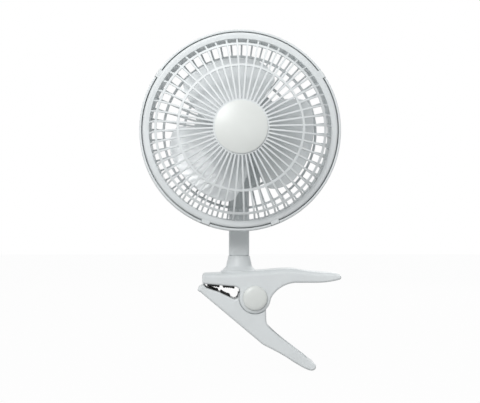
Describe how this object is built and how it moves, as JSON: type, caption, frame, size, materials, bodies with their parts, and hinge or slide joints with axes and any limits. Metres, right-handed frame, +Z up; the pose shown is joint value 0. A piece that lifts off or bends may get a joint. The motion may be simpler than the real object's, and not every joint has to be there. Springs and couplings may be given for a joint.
{
  "type": "clip fan",
  "caption": "Small fan with a round ribbed cage over a paddle propeller, on a swivelling neck held by a sprung clip with rubber jaw pads.",
  "frame": {"origin": "middle of the gripping face of the upper jaw's inner rubber pad, which rests on the shelf or board that the clip holds", "axes": "+Z up along the neck, +Y away from the front grille towards the motor housing, +X from the jaws towards the clip's handles"},
  "size_m": [0.1889, 0.1205, 0.3162],
  "materials": {
    "white_plastic": "smooth satin moulded ABS, cool white",
    "warm_plastic": "polished moulded ABS, slightly warmer white",
    "blade_plastic": "glossy moulded AS resin, cool white",
    "black_rubber": "matte ribbed rubber",
    "dark_plastic": "matte moulded nylon",
    "steel": "zinc-plated or drawn steel",
    "cast_metal": "as cast",
    "bronze": "sintered, oil filled",
    "enamelled_copper": "varnished winding"
  },
  "bodies": {
    "clip": {"clip_upper_arm": "white_plastic", "upper_pad_tip": "black_rubber", "upper_pad_inner": "black_rubber", "pivot_pin": "steel", "pivot_cap_front": "warm_plastic", "pivot_cap_back": "warm_plastic", "clip_spring": "steel"},
    "lower_clip": {"clip_lower_arm": "white_plastic", "lower_pad_tip": "black_rubber", "lower_pad_inner": "black_rubber"},
    "neck": {"neck_post": "white_plastic", "swivel_washer": "steel", "swivel_screw": "steel"},
    "head": {"front_grille": "white_plastic", "grille_centre_cap": "warm_plastic", "rear_grille": "white_plastic", "stator_core": "steel", "stator_coil_1": "enamelled_copper", "stator_coil_2": "enamelled_copper", "stator_coil_3": "enamelled_copper", "stator_coil_4": "enamelled_copper", "bearing_bracket_front": "cast_metal", "bearing_bracket_rear": "cast_metal", "bearing_bush_front": "bronze", "bearing_bush_rear": "bronze", "motor_screw_1": "steel", "motor_screw_2": "steel", "motor_screw_3": "steel", "motor_screw_4": "steel", "housing_front": "white_plastic", "housing_rear": "white_plastic", "housing_screw_1": "steel", "housing_screw_2": "steel", "housing_screw_3": "steel", "grille_screw_1": "steel", "grille_screw_2": "steel", "grille_screw_3": "steel", "tilt_bolt": "steel", "tilt_nut": "steel", "speed_switch": "dark_plastic", "cable_inlet": "white_plastic"},
    "rotor": {"propeller": "blade_plastic", "motor_shaft": "steel", "rotor_core": "steel"},
    "knob": {"speed_knob": "white_plastic"}
  },
  "joints": [
    {"name": "clip_hinge", "type": "hinge", "parent": "clip", "child": "lower_clip", "pos_m": [0.0246, 0, -0.0092], "axis": [0, -1, 0], "range_deg": [0, 40], "stiffness_Nm_per_rad": 0.8, "springref_deg": -34.38, "deforming": ["clip_spring"]},
    {"name": "neck_swivel", "type": "hinge", "parent": "clip", "child": "neck", "pos_m": [0.0101, 0, 0.0306], "axis": [0, 0, 1], "range_deg": [-90, 90]},
    {"name": "head_tilt", "type": "hinge", "parent": "neck", "child": "head", "pos_m": [0.0101, 0, 0.102], "axis": [-1, 0, 0], "range_deg": [-15, 60]},
    {"name": "propeller_spin", "type": "hinge", "parent": "head", "child": "rotor", "pos_m": [0.0101, 0, 0.146], "axis": [0, 1, 0], "continuous": true},
    {"name": "speed_turn", "type": "hinge", "parent": "head", "child": "knob", "pos_m": [0.0101, 0.0383, 0.146], "axis": [0, 1, 0], "range_deg": [0, 90]}
  ]
}
